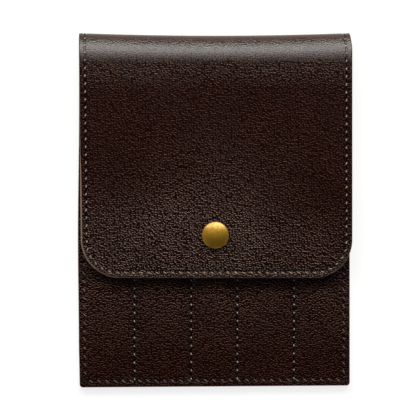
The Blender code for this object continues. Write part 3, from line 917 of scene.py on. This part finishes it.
def pocketTop(x, y, look=pocketShape):
    # Height of the pocket's outer face before the stitches pull it in
    lines = (-seamHalf, *look["dividers"], seamHalf)
    rise = 0 * x
    for left, right in zip(lines, lines[1:]):
        low, high = left + look["flat"], right - look["flat"]
        share = np.clip(np.abs(2 * x - low - high) / (high - low), 0, 1)
        rise = rise + np.where((x > left) & (x <= right), 1 - share ** 3, 0)
    late = smooth(np.abs(x), *look["lateSpan"])
    highFrom, highTo = [place + shift * late
        for place, shift in zip(look["highSpan"], look["lateShift"])]
    swell = look["lowSwell"] * smooth(y, *look["lowSpan"])
    swell = swell + (1 - look["lowSwell"]) * smooth(y, highFrom, highTo)
    top = look["low"] + look["leather"] + look["rise"] * rise * swell
    fromSnap = np.hypot(x - snapSpot["x"], y - snapSpot["y"])
    beyondSeat = np.clip(fromSnap - look["seatRadius"], 0, None)
    seat = look["seatTop"] + look["seatSlope"] * beyondSeat
    soft = look["seatBlend"]
    return -soft * np.log(np.exp(-top / soft) + np.exp(-seat / soft))


def pocketLines(x, y):
    # The nearest row of stitches: distance across it, place along it in pitches, hole length
    pitch = pocketSeam["pitch"]
    rows = [(x - line, (pocketSeam["dividerDot"] - y) / pitch, pocketShape["holeLength"])
        for line in pocketShape["dividers"]]
    rows += [(seamHalf - np.abs(x), (y - seamBottom) / pitch, pocketSeam["holeLength"]),
        (y - seamBottom, x / pitch, pocketSeam["holeLength"])]
    across, phase, length = [values + 0 * x for values in rows[0]]
    for distance, place, holeLength in rows[1:]:
        nearer = np.abs(distance) < np.abs(across)
        across = np.where(nearer, distance, across)
        phase = np.where(nearer, place, phase)
        length = np.where(nearer, holeLength, length)
    return across, phase, length


def placePocket(x, y, lift):
    return settle(x, y, pocketTop(x, y) + lift)


def makePocket(look):
    half = caseShape["halfWidth"]
    insets = np.array(outerSheet["edgeInsets"])
    near = np.array(look["nearLines"])
    marks = [-half + insets, half - insets]
    marks += [line + side * near for line in look["dividers"] for side in (-1, 1)]
    columns = fillBetween(np.concatenate(marks), look["step"])
    height = look["mouthY"] - caseShape["bottomY"]
    rows = fillBetween(np.concatenate([insets[:look["mouthRows"]], height - insets]), look["step"])
    x, down = np.meshgrid(columns, rows)
    edge = np.minimum(half - np.abs(x), np.minimum(down, height - down))
    flatX, flatDown, _ = roundCorners(x, down, half, height, caseShape["backCorner"])
    y = look["mouthY"] - flatDown
    across, phase, length = pocketLines(flatX, y)
    pull = look["lowerGroove"] + (1 - look["lowerGroove"]) * smooth(y, *look["lowerSpan"])
    groove = look["groove"] * pull * np.exp(-(across / look["grooveWidth"]) ** 2)
    drop, raw = cutEdge(edge, look["cutWidth"], look)
    wrinkle = look["wrinkle"] * np.sin(y / 2.3 + np.sin(flatX / 11) * 2.2)
    wrinkle = wrinkle * np.sin(flatX / 7.5 + y / 19) * smooth(edge, *look["wrinkleSpan"])
    wear = look["wear"][0] + look["wear"][1] * smooth(y, *look["wearAndLightSpan"])
    depths = (look["grainDepth"], look["grainDepth"] + look["leather"])
    rawEdge = np.concatenate([raw.ravel(), np.ones(x.size)])
    marks = markFaces(flatX, y, depths, (across, phase, length), rawEdge, wear, 0 * x)
    return layGrid(columns, rows, placePocket(flatX, y, -drop - groove + wrinkle),
        placePocket(flatX, y, -look["leather"] + 0 * x), marks)


frontPocket = cutPiece("frontPocket", makePocket(pocketShape), pocketCalf)
takePlace(frontPocket, "case_body", "front_pocket")
print("pocket shaped")


# Stitches: length and slant of each, how far it stands out and dives, and the thread's size
flapStitch = {"length": 1.15, "slant": -20, "lift": 0.02, "dive": 0.7, "bend": 3, "radius": 0.3,
    "flatness": 0.85}
flapLowerStitch = dict(flapStitch, length=2.1, slant=-30, radius=0.25, lift=0.0, shift=-0.45)
backStitch = {"length": 2.9, "slant": 8, "lift": -0.3, "dive": 0.55, "bend": 4, "radius": 0.26,
    "flatness": 0.75}
liningStitch = {"length": 2.7, "slant": -12, "lift": 0.1, "dive": 0.6, "bend": 4, "radius": 0.25,
    "flatness": 0.8}
pocketStitch = {"length": 2.4, "slant": -38, "lift": 0.0, "dive": 0.6, "bend": 4, "radius": 0.25,
    "flatness": 0.8}
dividerStitch = {"length": 1.05, "slant": 32, "lift": 0.02, "dive": 0.7, "bend": 3, "radius": 0.29,
    "flatness": 0.85}


def onFlapSeam(face, shift=0):
    # face 1 sews on the leather's outer face, -1 on the lining's inner one; shift is inwards
    depth = 0 if face > 0 else caseShape["wall"]

    def place(run, across, lift):
        x, along = flapSeamPoint(run, across + shift)
        return placeSheet(x, along, depth - face * lift)
    return place


def onSideSeam(side, face):
    depth = 0 if face > 0 else caseShape["wall"]

    def place(run, across, lift):
        return placeSheet(side * seamHalf + across, run, depth - face * lift)
    return place


def onBackBottom(run, across, lift):
    return placeSheet(run, caseShape["seamInset"] + across, -lift)


def onPocketRow(line, way, thread):
    # A row up (1) or down (-1) the pocket
    def place(run, across, lift):
        return placePocket(line + across, way * run, lift - pocketShape["groove"] + thread)
    return place


def onPocketBottom(run, across, lift):
    lift = lift - pocketShape["lowerGroove"] * pocketShape["groove"] + pocketSeam["thread"]
    return placePocket(run, seamBottom + across, lift)


def flapRuns(low, high):
    # Middles of the stitches between two places along the flap's seam
    pitch = flapSeam["pitch"]
    first = flapSeam["firstHole"] + pitch / 2
    numbers = np.arange(math.ceil((low - first) / pitch), math.ceil((high - first) / pitch))
    return first + numbers * pitch


sideEnd = sheetLength - flapSeam["lowerFrom"]
flapEnd = seamTotal - turnStarts["end"]
flapStitches = sewStitches("flapStitches", [
    (flapRuns(turnStarts["end"], sideEnd), onFlapSeam(1), flapStitch),
    (flapRuns(sideEnd, seamTotal - sideEnd), onFlapSeam(1, flapLowerStitch["shift"]),
     flapLowerStitch),
    (flapRuns(seamTotal - sideEnd, flapEnd), onFlapSeam(1), flapStitch)], thread)
takePlace(flapStitches, "flap", "flap_seam_thread")
flapUnder = sewStitches("flapUnderStitches", [
    (flapRuns(turnStarts["end"], flapEnd), onFlapSeam(-1), liningStitch)], darkThread)
takePlace(flapUnder, "flap", "flap_under_thread")
for bend in bends:
    title, _, _, start, end = bend
    # The back's own stitches reach a little way into the first bend
    runStart = start + 2 if title == "Lower" else start
    runs = (flapRuns(runStart, end), flapRuns(seamTotal - end, seamTotal - runStart))
    rows = [(run, onFlapSeam(1), flapStitch) for run in runs]
    bendStitches = sewStitches("foldStitches" + title, rows, thread)
    bridgeBend(bendStitches, bend, 0, "thread", "fold_thread_left_", "fold_thread_right_")

sideRuns = (np.arange(1, backSeam["sideHoles"]) + 0.5) * backSeam["pitch"]
sideRuns = sideRuns[sideRuns < turnStarts["first"] + backSeam["pastTurn"]]
lowerRuns = (np.arange(-backSeam["halfRow"], backSeam["halfRow"]) + 0.5) * backSeam["pitch"]
backStitches = sewStitches("backStitches", [(sideRuns, onSideSeam(-1, 1), backStitch),
    (sideRuns, onSideSeam(1, 1), backStitch), (lowerRuns, onBackBottom, backStitch)], darkThread)
takePlace(backStitches, "case_body", "back_seam_thread")

pitch = pocketSeam["pitch"]
mouthY = pocketShape["mouthY"]
sideRuns = seamBottom + (np.arange(0, pocketSeam["sideHoles"]) + 1.0) * pitch
sideRuns = sideRuns[sideRuns < mouthY - pocketSeam["underMouth"]]
aboveRuns = np.arange(mouthY + pocketSeam["aboveMouth"], pocketSeam["topY"], pitch)
aboveRuns = aboveRuns - caseShape["bottomY"]
lowerRuns = np.arange(-pocketSeam["halfRow"], pocketSeam["halfRow"] + 1) * pitch
pocketStitches = sewStitches("pocketStitches", [
    (sideRuns, onPocketRow(-seamHalf, 1, pocketSeam["thread"]), pocketStitch),
    (sideRuns, onPocketRow(seamHalf, 1, pocketSeam["thread"]), pocketStitch),
    (lowerRuns, onPocketBottom, pocketStitch),
    (aboveRuns, onSideSeam(-1, -1), liningStitch),
    (aboveRuns, onSideSeam(1, -1), liningStitch)], darkThread)
takePlace(pocketStitches, "case_body", "body_seam_thread")

dividerRuns = -pocketSeam["dividerDot"] + np.arange(*pocketSeam["dividerHoles"]) * pitch
onPocket = dividerRuns > pocketSeam["underMouth"] - mouthY
onPocket &= dividerRuns < -seamBottom - pocketSeam["aboveBottom"]
dividerRuns = dividerRuns[onPocket]
for number, line in enumerate(pocketShape["dividers"], start=1):
    divider = sewStitches(f"dividerStitches{number}",
        [(dividerRuns, onPocketRow(line, -1, pocketSeam["dividerThread"]), dividerStitch)], thread)
    takePlace(divider, "case_body", f"divider_thread_{number}")
print("stitches sewn")


snapShape = {
    "capRadius": 6.25,
    "capTop": 12.88,
    "capRim": 10.55,
    "slope": 27.0,  # in degrees, of the dome at its rim
    "dome": 1.25,  # 1 is a ball's curve, more keeps the middle flatter
    "rimRound": 0.42,
    "seat": 10.2,
    "stemRadius": 2.0,
    "wire": 0.2,  # the spring's, as a radius
    "ring": 3.6,
    "split": 12,  # half of the gap in the ring, in degrees
}


def capProfile():
    # A shallow dome that turns down sharply into a rolled rim
    radius, seat, stem = snapShape["capRadius"], snapShape["seat"], snapShape["stemRadius"]
    rimRound = snapShape["rimRound"]
    crown = np.linspace(0, radius - rimRound, 34)
    slopes = math.radians(snapShape["slope"]) * (crown / radius) ** snapShape["dome"]
    steepness = np.tan((slopes[1:] + slopes[:-1]) / 2)
    drops = np.concatenate([[0], np.cumsum(steepness * np.diff(crown))])
    heights = snapShape["capTop"] - drops
    dome = list(zip(crown, heights))
    steepest = slopes[-1]
    for turn in np.linspace(steepest, math.pi / 2, 9)[1:]:
        outward = rimRound * (math.sin(turn) - math.sin(steepest))
        down = rimRound * (math.cos(steepest) - math.cos(turn))
        dome.append((crown[-1] + outward, heights[-1] - down))
    dome += [(radius, snapShape["capRim"]), (radius - 0.12, seat + 0.1), (radius - 0.35, seat),
        (stem, seat), (stem, 7.9), (2.8, 7.85), (2.75, 7.5), (0, 7.48)]
    return np.array(dome)


def heightsOf(node):
    # The lowest and the highest point of a CAD piece
    low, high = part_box(node)
    return low.z / mm, high.z / mm


snapCentre = (snapSpot["x"], snapSpot["y"], 0)
snapCap = turnPiece("snapCap", capProfile(), snapCentre, brass, steps=128)
takePlace(snapCap, "flap", "snap_cap")
socketLow, socketHigh = heightsOf("snap_socket")
springMiddle = sum(heightsOf("snap_spring")) / 2
# The socket has a rolled lip below, and a groove inside for the spring
socket = turnPiece("snapSocket", softProfile([
    (2.3, socketHigh, 0.1), (5.0, socketHigh, 0.3), (5.25, socketHigh - 0.7, 0.25),
    (5.2, socketLow + 0.25, 0.2), (4.75, socketLow, 0.18), (4.45, socketLow + 0.22, 0.1),
    (3.95, socketLow + 0.22, 0.1), (3.72, socketLow, 0.1), (3.5, socketLow, 0.08),
    (3.5, springMiddle - 0.42, 0), (4.1, springMiddle - 0.42, 0), (4.1, springMiddle + 0.42, 0),
    (3.5, springMiddle + 0.42, 0), (3.5, socketHigh - 0.45, 0.1), (2.3, socketHigh - 0.4, 0.1)],
    closed=True), snapCentre, brass, closed=True)
takePlace(socket, "flap", "snap_socket")


def makeSpring():
    # A split ring of wire in the socket's groove
    angles = np.radians(np.linspace(snapShape["split"], 360 - snapShape["split"], 90))
    around = np.linspace(0, 2 * math.pi, 10, endpoint=False)
    radius = snapShape["ring"] + snapShape["wire"] * np.cos(around)[None, :]
    x = snapSpot["x"] + radius * np.cos(angles)[:, None]
    y = snapSpot["y"] - radius * np.sin(angles)[:, None]
    z = springMiddle + snapShape["wire"] * np.sin(around)[None, :] + 0 * x
    number = np.arange(x.size).reshape(x.shape)
    onward = np.roll(number, -1, axis=1)
    faces = np.stack([number[:-1], number[1:], onward[1:], onward[:-1]], -1)
    faces = faces.reshape(-1, 4).tolist() + [number[0].tolist(), number[-1, ::-1].tolist()]
    return addPiece("snapSpring", np.stack([x, y, z], -1).reshape(-1, 3), faces, springSteel)


spring = makeSpring()
takePlace(spring, "flap", "snap_spring")

studLow, studHigh = heightsOf("snap_stud")
# A flanged foot, a neck and a head that the spring grips
stud = turnPiece("snapStud", softProfile([
    (0, studHigh, 0), (2.55, studHigh, 0.3), (3.1, studHigh - 0.45, 0.3),
    (3.05, studLow + 1.15, 0.2), (2.5, studLow + 0.8, 0.15), (2.5, studLow + 0.55, 0.15),
    (3.6, studLow + 0.5, 0.1), (4.35, studLow + 0.6, 0.12), (4.6, studLow + 0.3, 0.12),
    (4.6, studLow - 0.25, 0.05), (0, studLow - 0.25, 0)]), snapCentre, brass)
takePlace(stud, "case_body", "snap_stud")
postLow = heightsOf("snap_stud_post")[0]
post = turnPiece("snapPost", softProfile([
    (0, studLow, 0), (1.5, studLow, 0.1), (1.5, postLow + 0.6, 0.1), (4.3, postLow + 0.5, 0.15),
    (4.5, postLow + 0.25, 0.15), (4.3, postLow, 0.15), (0, postLow, 0)]), snapCentre, brass)
takePlace(post, "case_body", "snap_stud_post")
print("press stud turned")


studio = {
    "floorRadius": 3000.0,
    "floorZ": -0.2,
    "coveRadius": 200.0,
    "wallHeight": 420.0,
    "floorColour": (0.8, 0.8, 0.8, 1),
    "floorRoughness": 0.9,
    "seenShade": (0.3, 0.3, 0.3, 1),
    "seenGlow": 0.8,
    "ambient": 0.01,
    # tilt from straight up and turn round from +Y towards -X, spans in degrees, radiance
    "panels": (
        ("topPanel", 48.5, 0, 24, 90, 6.4, "#fffdf8"),
        ("softPanel", 27.8, 0, 17.4, 90, 1.6, "#fffdf8"),
        ("behindPanel", 78, 0, 28, 100, 0.5, "#ffeede"),
        ("lowPanel", 66, 180, 30, 110, 0.3, "#fffaf2"),
        ("leftPanel", 68, 90, 30, 90, 0.8, "#ffffff"),
        ("rightPanel", 70, -90, 30, 90, 0.3, "#ffffff"),
    ),
    "panelDistance": 1.3,  # in metres
}


def makeFloor():
    # A round table that turns up at its rim, pale to the camera and grey to the light
    material, tree, shader, _ = startMaterial({"name": "paleStudioFloor"})
    feed(shader, {"Base Color": studio["floorColour"], "Roughness": studio["floorRoughness"],
        "Specular IOR Level": 0.0})
    rays = addNode(tree, "LightPath")
    seen = addNode(tree, "Math", {0: rays.outputs["Is Camera Ray"],
        1: rays.outputs["Is Glossy Ray"]}, operation="ADD", use_clamp=True)
    seenToo = addNode(tree, "Math", {0: seen, 1: rays.outputs["Is Transmission Ray"]},
        operation="ADD", use_clamp=True)
    shade = addNode(tree, "BsdfDiffuse", {"Color": studio["seenShade"]})
    glow = addNode(tree, "Emission", {"Color": (1, 1, 1, 1), "Strength": studio["seenGlow"]})
    both = addNode(tree, "AddShader", {0: shade, 1: glow})
    mixed = addNode(tree, "MixShader", {0: seenToo, 1: shader, 2: both})
    feed(tree.nodes["Material Output"], {"Surface": mixed})
    radius, cove = studio["floorRadius"], studio["coveRadius"]
    profile = [(0, 0)]
    profile += [(radius + cove * math.sin(angle), cove - cove * math.cos(angle))
        for angle in np.linspace(0, math.pi / 2, 8)]
    profile += [(radius + cove, studio["wallHeight"])]
    floor = turnPiece("studioFloor", np.array(profile, float), (0, 0, studio["floorZ"]), material)
    # Its upper side faces the camera
    floor.data.flip_normals()


def hangPanel(name, tilt, turn, span, spread, radiance, colour):
    # A soft box seen from the case at that tilt, as tall and as wide as the spans say
    distance = studio["panelDistance"]
    tilt, turn = math.radians(tilt), math.radians(turn)
    lamp = bpy.data.lights.new(name, "AREA")
    lamp.shape = "RECTANGLE"
    lamp.size = 2 * distance * math.tan(math.radians(spread / 2)) * math.sin(tilt)
    lamp.size_y = 2 * distance * math.tan(math.radians(span / 2))
    lamp.energy = radiance * math.pi * lamp.size * lamp.size_y
    lamp.color = linearColour(colour)[:3]
    hung = bpy.data.objects.new(name, lamp)
    out = distance * math.sin(tilt)
    hung.location = (-out * math.sin(turn), out * math.cos(turn), distance * math.cos(tilt))
    # Tipped back from straight down, then turned round the upright
    hung.rotation_euler = (-tilt, 0, turn)
    hung.rotation_mode = "XYZ"
    hung.visible_camera = False
    bpy.context.scene.collection.objects.link(hung)


makeFloor()
for panel in studio["panels"]:
    hangPanel(*panel)
world = bpy.data.worlds.new("studioAir")
world.use_nodes = True
feed(world.node_tree.nodes["Background"], {"Color": (1, 1, 1, 1), "Strength": studio["ambient"]})
bpy.context.scene.world = world
bpy.context.scene.view_settings.view_transform = "Standard"
print("studio lit")

# Straight above, through a long lens: 190 mm of the case's level fills the square picture
cameraView = {"x": -2.9, "y": 0.9, "level": 8.0, "width": 190.0, "lens": 400.0, "sensor": 36.0,
    "clip": (0.1, 30.0)}
cameraData = bpy.data.cameras.new("photoCamera")
cameraData.lens = cameraView["lens"]
cameraData.sensor_width = cameraView["sensor"]
cameraData.clip_start, cameraData.clip_end = cameraView["clip"]
camera = bpy.data.objects.new("photoCamera", cameraData)
away = cameraView["width"] * cameraView["lens"] / cameraView["sensor"]
camera.location = (cameraView["x"] * mm, cameraView["y"] * mm, (away + cameraView["level"]) * mm)
bpy.context.scene.collection.objects.link(camera)
bpy.context.scene.camera = camera
